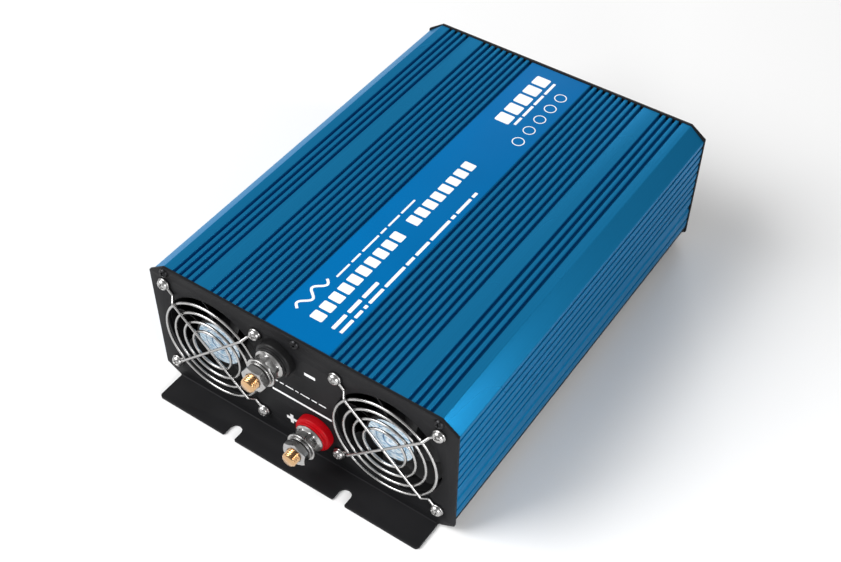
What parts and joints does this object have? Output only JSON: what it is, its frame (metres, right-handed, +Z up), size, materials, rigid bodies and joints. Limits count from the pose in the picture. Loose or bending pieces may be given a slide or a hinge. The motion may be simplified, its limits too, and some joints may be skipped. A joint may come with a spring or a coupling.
{
  "type": "power inverter",
  "caption": "Boxy ribbed-aluminium power inverter with end-plate feet, twin guarded fans, two battery studs, mains outlets and a rocker switch.",
  "frame": {"origin": "centre of the bounding box on the plane that the feet stand on", "axes": "+Y from the fan and terminal end to the outlet end, +Z up, +X to the right when facing the terminals"},
  "size_m": [0.225, 0.3564, 0.102],
  "materials": {
    "anodised_casing": "blue anodised, satin",
    "black_paint": "black powder coat, fine texture",
    "label_film": "printed blue film",
    "black_plastic": "moulded, satin",
    "red_plastic": "moulded, semi-gloss",
    "bright_steel": "bright nickel plate",
    "black_steel": "black oxide",
    "brass": "turned, bright",
    "copper": "plain copper strip",
    "bare_aluminium": "mill finish",
    "circuit_board": "green solder mask",
    "wound_core": "wound copper on a ferrite core",
    "capacitor_sleeve": "dark blue sleeve",
    "green_lens": "clear green lens",
    "red_lens": "clear red lens"
  },
  "bodies": {
    "inverter": {"top_casing": "anodised_casing", "base_tray": "black_paint", "top_label": "label_film", "front_plate": "black_paint", "front_plate_screw_1": "black_steel", "front_plate_screw_2": "black_steel", "front_plate_screw_3": "black_steel", "rear_plate": "black_paint", "rear_plate_screw_1": "black_steel", "rear_plate_screw_2": "black_steel", "rear_plate_screw_3": "black_steel", "fan_frame_left": "black_plastic", "fan_guard_left": "bright_steel", "fan_screw_left_1": "bright_steel", "fan_screw_left_2": "bright_steel", "fan_screw_left_3": "bright_steel", "fan_screw_left_4": "bright_steel", "fan_frame_right": "black_plastic", "fan_guard_right": "bright_steel", "fan_screw_right_1": "bright_steel", "fan_screw_right_2": "bright_steel", "fan_screw_right_3": "bright_steel", "fan_screw_right_4": "bright_steel", "negative_insulator": "black_plastic", "negative_inner_insulator": "black_plastic", "negative_busbar": "copper", "negative_stud": "brass", "negative_clamp_nut": "bright_steel", "negative_flat_washer": "bright_steel", "negative_spring_washer": "bright_steel", "negative_cable_nut": "bright_steel", "positive_insulator": "red_plastic", "positive_inner_insulator": "red_plastic", "positive_busbar": "copper", "positive_stud": "brass", "positive_clamp_nut": "bright_steel", "positive_flat_washer": "bright_steel", "positive_spring_washer": "bright_steel", "positive_cable_nut": "bright_steel", "main_board": "circuit_board", "heatsink_left": "bare_aluminium", "heatsink_right": "bare_aluminium", "transformer_1": "wound_core", "transformer_2": "wound_core", "transformer_3": "wound_core", "input_capacitor_1": "capacitor_sleeve", "input_capacitor_2": "capacitor_sleeve", "output_capacitor": "capacitor_sleeve", "output_choke": "wound_core", "ac_socket_1": "black_plastic", "ac_socket_2": "black_plastic", "switch_housing": "black_plastic", "power_lamp": "green_lens", "fault_lamp": "red_lens", "usb_socket": "black_plastic", "earth_stud": "bright_steel", "earth_nut": "bright_steel"},
    "left_rotor": {"fan_rotor_left": "black_plastic"},
    "right_rotor": {"fan_rotor_right": "black_plastic"},
    "rocker": {"switch_rocker": "red_plastic"}
  },
  "joints": [
    {"name": "left_fan_spin", "type": "hinge", "parent": "inverter", "child": "left_rotor", "pos_m": [-0.065, -0.135, 0.053], "axis": [0, 1, 0], "continuous": true},
    {"name": "right_fan_spin", "type": "hinge", "parent": "inverter", "child": "right_rotor", "pos_m": [0.065, -0.135, 0.053], "axis": [0, 1, 0], "continuous": true},
    {"name": "power_switch_rock", "type": "hinge", "parent": "inverter", "child": "rocker", "pos_m": [-0.048, 0.1555, 0.062], "axis": [1, 0, 0], "range_deg": [0, 20]}
  ]
}
